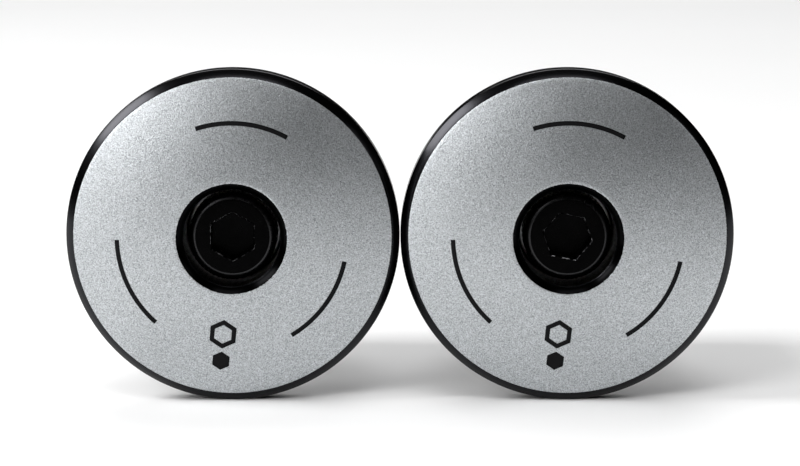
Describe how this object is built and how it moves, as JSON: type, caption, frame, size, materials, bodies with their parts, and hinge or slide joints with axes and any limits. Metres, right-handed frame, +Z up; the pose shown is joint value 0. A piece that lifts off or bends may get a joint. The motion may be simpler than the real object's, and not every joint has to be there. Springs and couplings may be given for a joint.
{
  "type": "expanding handlebar end plugs",
  "caption": "Pair of round alloy expanding end plugs for a bicycle handlebar, with blasted silver domed faces, black rims, recessed socket bolts and ribbed jaws spread by cones.",
  "frame": {"origin": "centre of the left plug's seat against the bar's end, on its axis", "axes": "+X from the left plug to the right plug, +Y along both axes into the bars, +Z up; the faces look along -Y"},
  "size_m": [0.0641, 0.0368, 0.032],
  "materials": {
    "blasted_alloy_cap": "bead-blasted silver dome with black anodised rim, recess, arcs and a small outline mark",
    "black_oxide_bolt": "black oxide on alloy steel, satin, slightly oily",
    "zinc_washer": "zinc plated, stamped",
    "zinc_nut": "zinc plated, turned faces",
    "black_nylon_wedge": "moulded glass-filled nylon, fine satin grain",
    "black_nylon_jaw": "moulded glass-filled nylon, ribbed, matte",
    "rubber_band": "plain moulded rubber, dull"
  },
  "bodies": {
    "left_plug": {"left_cap": "blasted_alloy_cap", "left_washer": "zinc_washer", "left_front_wedge": "black_nylon_wedge"},
    "left_screw": {"left_bolt": "black_oxide_bolt"},
    "left_draw_wedge": {"left_rear_wedge": "black_nylon_wedge", "left_nut": "zinc_nut"},
    "left_bands": {"left_front_band": "rubber_band", "left_rear_band": "rubber_band"},
    "left_top_shoe": {"left_jaw_top": "black_nylon_jaw"},
    "left_inner_shoe": {"left_jaw_inner": "black_nylon_jaw"},
    "left_outer_shoe": {"left_jaw_outer": "black_nylon_jaw"},
    "right_plug": {"right_cap": "blasted_alloy_cap", "right_washer": "zinc_washer", "right_front_wedge": "black_nylon_wedge"},
    "right_screw": {"right_bolt": "black_oxide_bolt"},
    "right_draw_wedge": {"right_rear_wedge": "black_nylon_wedge", "right_nut": "zinc_nut"},
    "right_bands": {"right_front_band": "rubber_band", "right_rear_band": "rubber_band"},
    "right_top_shoe": {"right_jaw_top": "black_nylon_jaw"},
    "right_inner_shoe": {"right_jaw_inner": "black_nylon_jaw"},
    "right_outer_shoe": {"right_jaw_outer": "black_nylon_jaw"}
  },
  "joints": [
    {"name": "left_bolt_turn", "type": "hinge", "parent": "left_plug", "child": "left_screw", "pos_m": [0, 0, 0], "axis": [0, 1, 0], "range_deg": [0, 2160]},
    {"name": "left_rear_wedge_draw", "type": "slide", "parent": "left_plug", "child": "left_draw_wedge", "axis": [0, -1, 0], "range_m": [0, 0.0048]},
    {"name": "left_bands_stretch", "type": "slide", "parent": "left_plug", "child": "left_bands", "axis": [0, -1, 0], "range_m": [0, 0.0024], "deforming": ["left_front_band", "left_rear_band"]},
    {"name": "left_jaw_top_spread", "type": "slide", "parent": "left_plug", "child": "left_top_shoe", "axis": [0, -0.9063, 0.4226], "range_m": [0, 0.00265]},
    {"name": "left_jaw_inner_spread", "type": "slide", "parent": "left_plug", "child": "left_inner_shoe", "axis": [0.366, -0.9063, -0.2113], "range_m": [0, 0.00265]},
    {"name": "left_jaw_outer_spread", "type": "slide", "parent": "left_plug", "child": "left_outer_shoe", "axis": [-0.366, -0.9063, -0.2113], "range_m": [0, 0.00265]},
    {"name": "right_bolt_turn", "type": "hinge", "parent": "right_plug", "child": "right_screw", "pos_m": [0.03206, 0, 0], "axis": [0, 1, 0], "range_deg": [0, 2160]},
    {"name": "right_rear_wedge_draw", "type": "slide", "parent": "right_plug", "child": "right_draw_wedge", "axis": [0, -1, 0], "range_m": [0, 0.0048]},
    {"name": "right_bands_stretch", "type": "slide", "parent": "right_plug", "child": "right_bands", "axis": [0, -1, 0], "range_m": [0, 0.0024], "deforming": ["right_front_band", "right_rear_band"]},
    {"name": "right_jaw_top_spread", "type": "slide", "parent": "right_plug", "child": "right_top_shoe", "axis": [0, -0.9063, 0.4226], "range_m": [0, 0.00265]},
    {"name": "right_jaw_inner_spread", "type": "slide", "parent": "right_plug", "child": "right_inner_shoe", "axis": [-0.366, -0.9063, -0.2113], "range_m": [0, 0.00265]},
    {"name": "right_jaw_outer_spread", "type": "slide", "parent": "right_plug", "child": "right_outer_shoe", "axis": [0.366, -0.9063, -0.2113], "range_m": [0, 0.00265]},
    {"name": "right_plug_away", "type": "slide", "parent": "left_plug", "child": "right_plug", "axis": [1, 0, 0], "range_m": [0, 0.04]}
  ],
  "couplings": [
    {"joint": "left_bolt_turn", "follows": "left_rear_wedge_draw", "rad_per_m": 7853.9},
    {"joint": "left_bands_stretch", "follows": "left_rear_wedge_draw", "ratio": 0.5},
    {"joint": "left_jaw_top_spread", "follows": "left_rear_wedge_draw", "ratio": 0.55168},
    {"joint": "left_jaw_inner_spread", "follows": "left_rear_wedge_draw", "ratio": 0.55168},
    {"joint": "left_jaw_outer_spread", "follows": "left_rear_wedge_draw", "ratio": 0.55168},
    {"joint": "right_bolt_turn", "follows": "right_rear_wedge_draw", "rad_per_m": 7853.9},
    {"joint": "right_bands_stretch", "follows": "right_rear_wedge_draw", "ratio": 0.5},
    {"joint": "right_jaw_top_spread", "follows": "right_rear_wedge_draw", "ratio": 0.55168},
    {"joint": "right_jaw_inner_spread", "follows": "right_rear_wedge_draw", "ratio": 0.55168},
    {"joint": "right_jaw_outer_spread", "follows": "right_rear_wedge_draw", "ratio": 0.55168}
  ]
}
